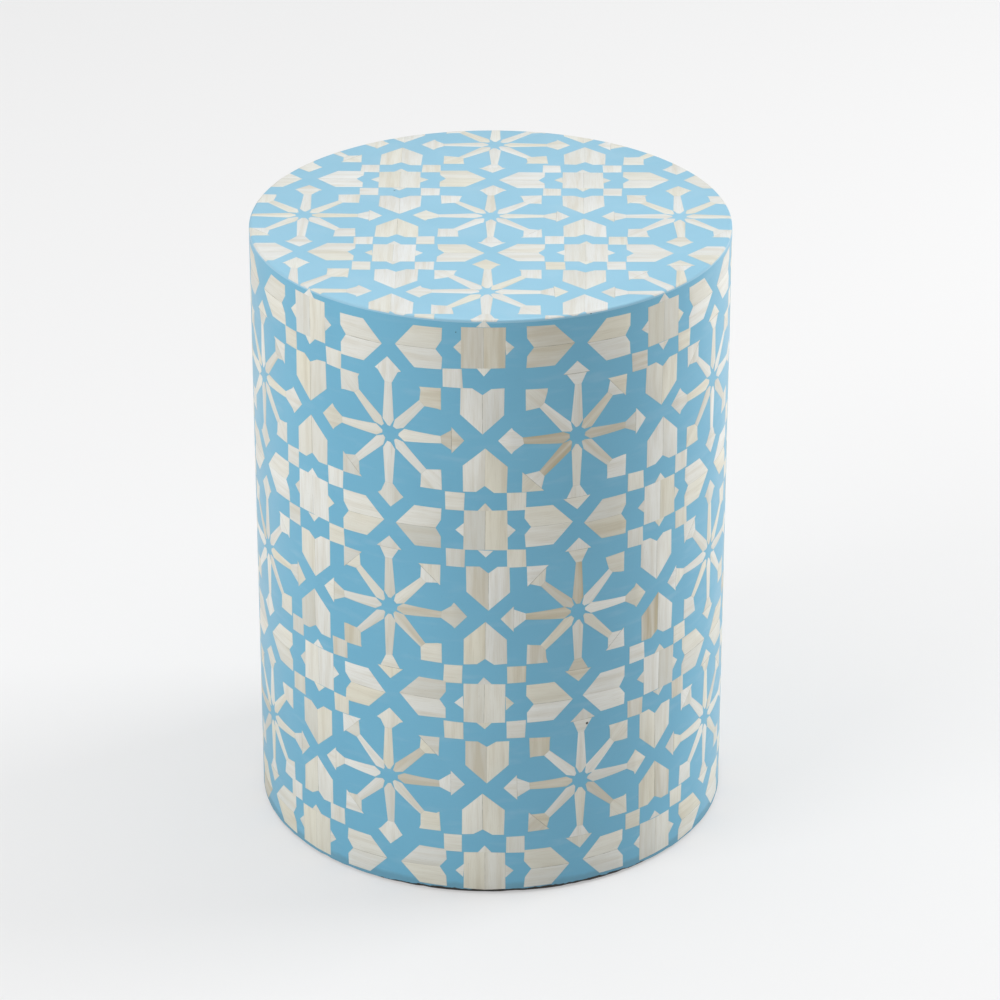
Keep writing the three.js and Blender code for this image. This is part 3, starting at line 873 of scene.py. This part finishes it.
shield_base = 0.215
shield_half = 0.113
shield_shoulder = 0.360
shield_tip = 0.465
notch_depth = 0.034
notch_half = 0.048
shield_seam_shades = (0.3, 1.0)
shield_strays = {
    (0, 0, 3): (-1, 1), (0, 1, 1): (1, 0), (0, 1, 3): (3, 1),
    (0, 2, 1): (1, 2), (0, 2, 3): (2, -1), (0, 3, 1): (-1, 0),
}
shield_stains = {
    (0, 0): {(0, 0): slight, (0, 1): slight},
    (0, 1): {(3, 0): slight},
    (0, 2): {(3, 0): slight},
    (1, 1): {(2, 1): slight},
    (1, 2): {(1, 1): deep},
    (1, 3): {(1, 0): slight},
}
wall_shields = strayed(
    {(*key, side): place for key, place in wall_grid_points.items() for side in wall_sides(key[1], 1)},
    shield_strays, seed=93)


def shield_chips(grid, centre, side, seen, chance):
    right = [
        (shield_base, -notch_half), (shield_base, -shield_half), (shield_shoulder, -shield_half),
    ]
    left = [(x, -y) for x, y in reversed(right)]
    outline = [(shield_base + notch_depth, 0.0), *right, (shield_tip, 0.0), *left]
    turn = quarter_turns[side]
    notch, *right_side, tip, left_out, left_base, left_in = laid_out(
        turned(outline, turn), grid, centre, chance)
    seam = (notch, tip, chance.uniform(*shield_seam_shades))
    halves = ([notch, *right_side, tip], [notch, tip, left_out, left_base, left_in])
    for number, part in enumerate(halves):
        look = bone_look(chance, stained_share, seen, (side, number))
        yield make_chip(part, turn, look, chance, seam)


for tier in range(star_rows + 1):
    lay_on_wall(
        f"wall_shields_{tier + 1}",
        lambda key, chance: shield_chips(
            wall_grid, wall_shields[key], key[2], seen_stains(shield_stains, key), chance),
        [key for key in wall_shields if key[1] == tier], seed=400 + tier)

# Small squares of the wall: one at each corner of a rosette, touching it, two shields and a star
# head by their corners. One of them fell off before the resin went on.

square_inner = 0.1150
square_outer = 0.2155
all_corners = [(-1, -1), (1, -1), (1, 1), (-1, 1)]
lost_square = (0, 0, 1)
square_stains = {
    (-1, 2): {2: slight}, (0, 2): {2: slight}, (1, 0): {0: slight}, (1, 2): {0: slight, 1: slight},
}


def square_chips(grid, centre, numbers, seen, chance):
    for number in numbers:
        across, up = all_corners[number]
        near_x, far_x = sorted((across * square_inner, across * square_outer))
        near_y, far_y = sorted((up * square_inner, up * square_outer))
        square = [(near_x, near_y), (far_x, near_y), (far_x, far_y), (near_x, far_y)]
        corners = laid_out(square, grid, nudged(centre, chance), chance)
        look = bone_look(chance, stained_share, seen, number)
        yield make_chip(corners, chance.choice((0.0, math.pi / 2)), look, chance)


def wall_squares(key):
    """The numbers of a rosette's squares that fit on the wall."""
    return [
        number for number, (_, up) in enumerate(all_corners)
        if (up < 0 or key[1] > 0) and (up > 0 or key[1] < star_rows) and (*key, number) != lost_square
    ]


for tier in range(star_rows + 1):
    lay_on_wall(
        f"wall_squares_{tier + 1}",
        lambda key, chance: square_chips(
            wall_grid, wall_rosettes[key], wall_squares(key), seen_stains(square_stains, key), chance),
        [key for key in wall_rosettes if key[1] == tier], seed=500 + tier)

# Resin top: the same resin on the top board, its blue painted paler than the wall's as a painted sheen
# of the lacquer. It reaches over the wall, and its rim is rounded by hand, so that no joint shows.

rim_round = 0.0020
round_steps = 5
top_pit = (-0.0702, 0.0522, 0.4500)
top_pit_radius = 0.0005

# Painted sheen: the top's blue is set paler than the wall's, standing in for the pale reflection its
# lacquer shows from above.
top_blue_painted_sheen = blue_resin_finish(
    "top_blue_resin_painted_sheen", resin_blue=(0.312, 0.565, 0.719, 1), resin_shade=(0.286, 0.538, 0.689, 1),
    pit=top_pit, pit_radius=top_pit_radius)
rim_profile = [
    (wall_radius - rim_round * (1 - math.cos(step / round_steps * math.pi / 2)),
     stool_height - rim_round * (1 - math.sin(step / round_steps * math.pi / 2)))
    for step in range(round_steps + 1)
]
resin_top = spun(
    [(0.0, seam_height), (wall_radius, seam_height), *rim_profile, (0.0, stool_height)],
    full_turn, wall_facets, front_facet,
)
keep_corners(resin_top, sharp_from=30)
place_piece("resin_top_layer", resin_top, top_blue_painted_sheen, "blue_resin", "resin_top")

# Chips of the top: the same five kinds on a square grid round a star, which lies a little behind
# the middle. Those that reach the rim are cut off by it and rounded with it.

top_pitch_share = 0.3875
top_pitch = top_pitch_share * 2 * wall_radius
top_grid = (top_pitch, top_pitch)
top_turn = math.radians(0.8)
top_middle = (0.0004, 0.0083, 0.0)
crease_turn = full_turn / wall_facets
rim_cut_shares = (1.0, 0.5)
rim_cuts = [wall_radius - share * rim_round for share in rim_cut_shares]
rim_end_share = 0.08
rim_end = wall_radius - rim_end_share * rim_round
least_left = 0.003


def seat_on_top(chip):
    """Turns the chip into its place and cuts and rounds it at the rim. Gives None for a mere sliver."""
    bmesh.ops.rotate(chip, verts=chip.verts, cent=(0, 0, 0), matrix=Matrix.Rotation(top_turn, 3, "Z"))
    bmesh.ops.translate(chip, verts=chip.verts, vec=top_middle)
    distances = [corner.co.xy.length for corner in chip.verts]
    if min(distances) > rim_end - least_left:
        chip.free()
        return None
    if max(distances) > rim_cuts[0]:
        cut_at_rim(chip)
    for corner in chip.verts:
        past = min(rim_round, max(0.0, corner.co.xy.length - rim_cuts[0]))
        drop = rim_round - math.sqrt(max(0.0, rim_round ** 2 - past ** 2))
        corner.co.z += stool_height + chip_stands - drop
    return chip


def cut_at_rim(chip):
    middle = sum((corner.co for corner in chip.verts), Vector()) / len(chip.verts)
    facing_middle = math.atan2(middle.y, middle.x)
    swings = []
    for corner in chip.verts:
        swing = math.atan2(corner.co.y, corner.co.x) - facing_middle
        swings.append((swing + math.pi) % full_turn - math.pi + facing_middle)
    first = math.floor(min(swings) / crease_turn) - 1
    last = math.ceil(max(swings) / crease_turn) + 1
    for crease in range(first, last + 1):
        angle = crease * crease_turn
        cut_across(chip, (-math.sin(angle), math.cos(angle), 0.0), (0.0, 0.0, 0.0))
    for radius in (*rim_cuts, rim_end):
        flat = radius * math.cos(crease_turn / 2)
        for crease in range(first, last):
            angle = (crease + 0.5) * crease_turn
            facing = Vector((math.cos(angle), math.sin(angle), 0.0))
            cut_across(chip, facing, facing * flat, radius == rim_end)
    open_edges = [edge for edge in chip.edges if len(edge.link_faces) == 1]
    if open_edges:
        bmesh.ops.holes_fill(chip, edges=open_edges, sides=0)
        bmesh.ops.recalc_face_normals(chip, faces=chip.faces)


top_cells = [(column, row) for row in range(-2, 3) for column in range(-2, 3)]
top_evenness = 0.5
no_stains = {}
top_bone = bone_finish(
    "top_bone", white_bone=(0.740, 0.759, 0.751, 1), grey_bone=(0.647, 0.656, 0.612, 1),
    yellow_bone=(0.717, 0.709, 0.620, 1), seam_strength=0.60, pit=top_pit, pit_radius=top_pit_radius)


def top_places(shift):
    return {cell: tuple((part + shift) * top_pitch for part in cell) for cell in top_cells}


def lay_on_top(name, make_chips, keys, *nodes, seed):
    """As on the wall, but the bone of the top was picked for its even tone."""
    chance = random.Random(seed)
    sheet = new_sheet()
    for key in keys:
        for chip in make_chips(key, chance):
            seated = seat_on_top(chip)
            if seated is not None:
                add_chip(sheet, seated)
    tones = sheet.faces.layers.float["tone"]
    for face in sheet.faces:
        face[tones] *= top_evenness
    place_piece(name, sheet, top_bone, "bone", *nodes)


top_stars = strayed(top_places(shift=0.0), {}, seed=94)
top_rosettes = strayed(top_places(shift=0.5), {}, seed=95)
top_shields = strayed(
    {(*key, side): place for key, place in top_places(shift=0.5).items() for side in all_sides},
    {}, seed=96)
top_rays = saw_rays(top_grid, top_stars, seed=97)
star_numbers = range(1, len(star_turns) + 1)
lay_on_top(
    "top_star_rays",
    lambda key, chance: ray_chips(top_rays[key], no_stains, chance),
    top_stars, *(f"star_ray_{number}" for number in star_numbers), seed=600)
lay_on_top(
    "top_star_heads",
    lambda key, chance: head_chips(top_grid, top_stars[key], top_rays[key], no_stains, chance),
    top_stars, *(f"star_head_{number}" for number in star_numbers), seed=601)
lay_on_top(
    "top_rosettes",
    lambda key, chance: rosette_chips(top_grid, top_rosettes[key], all_sides, no_stains, chance),
    top_rosettes, seed=602)
lay_on_top(
    "top_shields",
    lambda key, chance: shield_chips(top_grid, top_shields[key], key[2], no_stains, chance),
    top_shields, seed=603)
lay_on_top(
    "top_squares",
    lambda key, chance: square_chips(
        top_grid, top_rosettes[key], range(len(all_corners)), no_stains, chance),
    top_rosettes, seed=604)

# Studio: a wide pale floor and the faint light of a white room, with two soft lamps on the left, one
# behind on the right and a wide one overhead. The two smallest, which are the brightest for their
# size, leave no glare on the lacquer.

floor_half = 9.0
floor_gap = 0.00005
floor_seen_paler = 0.44
floor_near = 2.2
floor_far = 5.0
pure_white = (1.0, 1.0, 1.0, 1)
backdrop_grey = (0.90, 0.90, 0.905, 1)
room_brightness = 0.20

floor_paint, tree, shader = new_finish("floor_paint", Roughness=0.9, Specular_IOR_Level=0.0)
floor_tone = cloud(tree, object_place(tree), scale=0.6, detail=1.0)
floor_colour = blend_colours(tree, floor_tone, (0.715, 0.715, 0.718, 1), (0.725, 0.725, 0.727, 1))
tree.links.new(floor_colour, shader["Base Color"])
eye_path = tree.nodes.new("ShaderNodeLightPath").outputs["Is Camera Ray"]
from_stool = measure(tree, "LENGTH", object_place(tree))
far_share = rescale(tree, from_stool, floor_near, floor_far, 0.0, 1.0)
paler = rescale(tree, far_share, 0.0, 1.0, floor_seen_paler, 1.0)
paler_share = reckon(tree, "MULTIPLY", eye_path, paler)
seen_colour = blend_colours(tree, far_share, pure_white, backdrop_grey)
plain_white = add_node(tree, "ShaderNodeEmission", {"Color": seen_colour, "Strength": 1.0})
floor_mix = add_node(
    tree, "ShaderNodeMixShader",
    {0: paler_share, 1: tree.nodes["Principled BSDF"].outputs[0], 2: plain_white.outputs[0]})
tree.links.new(floor_mix.outputs[0], tree.nodes["Material Output"].inputs["Surface"])
floor_body = bmesh.new()
bmesh.ops.create_grid(floor_body, x_segments=1, y_segments=1, size=floor_half)
bmesh.ops.translate(floor_body, verts=floor_body.verts, vec=(0, 0, -floor_gap))
floor_mesh = bpy.data.meshes.new("floor")
floor_body.to_mesh(floor_mesh)
floor_body.free()
floor_mesh.materials.append(floor_paint)
floor = bpy.data.objects.new("floor", floor_mesh)
bpy.context.scene.collection.objects.link(floor)

room = bpy.data.worlds.new("white_room")
room.use_nodes = True
bpy.context.scene.world = room
tree = room.node_tree
tree.nodes.clear()
room_light = add_node(
    tree, "ShaderNodeBackground", {"Color": pure_white, "Strength": room_brightness})
room_seen = add_node(tree, "ShaderNodeBackground", {"Color": backdrop_grey, "Strength": 1.0})
eye_path = tree.nodes.new("ShaderNodeLightPath").outputs["Is Camera Ray"]
room_mix = add_node(
    tree, "ShaderNodeMixShader", {0: eye_path, 1: room_light.outputs[0], 2: room_seen.outputs[0]})
add_node(tree, "ShaderNodeOutputWorld", {"Surface": room_mix.outputs[0]})


def hang_lamp(name, place, aim, width, power, shows_in_lacquer):
    lamp_data = bpy.data.lights.new(name, "AREA")
    lamp_data.shape = "SQUARE"
    lamp_data.size = width
    lamp_data.energy = power
    lamp = bpy.data.objects.new(name, lamp_data)
    lamp.location = place
    lamp.visible_camera = False
    lamp.visible_glossy = shows_in_lacquer
    lamp.rotation_euler = (Vector(aim) - Vector(place)).to_track_quat("-Z", "Y").to_euler()
    bpy.context.scene.collection.objects.link(lamp)


stool_middle = (0.0, 0.0, 0.25)
hang_lamp(
    "left_lamp", place=(-2.367, -1.986, 1.893), aim=stool_middle, width=1.8, power=45.0,
    shows_in_lacquer=False)
hang_lamp(
    "far_left_lamp", place=(-3.043, -0.537, 1.893), aim=stool_middle, width=3.2, power=25.0,
    shows_in_lacquer=True)
hang_lamp(
    "right_lamp", place=(2.981, 1.085, 1.729), aim=stool_middle, width=1.8, power=88.0,
    shows_in_lacquer=False)
hang_lamp(
    "overhead_lamp", place=(0.0, 0.6, 4.2), aim=(0.0, 0.6, 0.0), width=5.0, power=123.0,
    shows_in_lacquer=True)

# Camera: the photograph's angle, a little to the right of the front and high above it, with a
# long lens.

camera_data = bpy.data.cameras.new("camera")
camera_data.sensor_width = 36.0
camera_data.lens = 159.3
camera_data.clip_end = 100.0
camera = bpy.data.objects.new("camera", camera_data)
camera_place = Vector((0.0819, -2.8680, 1.6755))
camera_aim = Vector((0.0066, 0.0002, 0.2296))
camera.location = camera_place
camera.rotation_euler = (camera_aim - camera_place).to_track_quat("-Z", "Y").to_euler()
bpy.context.scene.collection.objects.link(camera)
bpy.context.scene.camera = camera

bpy.context.scene.view_settings.view_transform = "Standard"
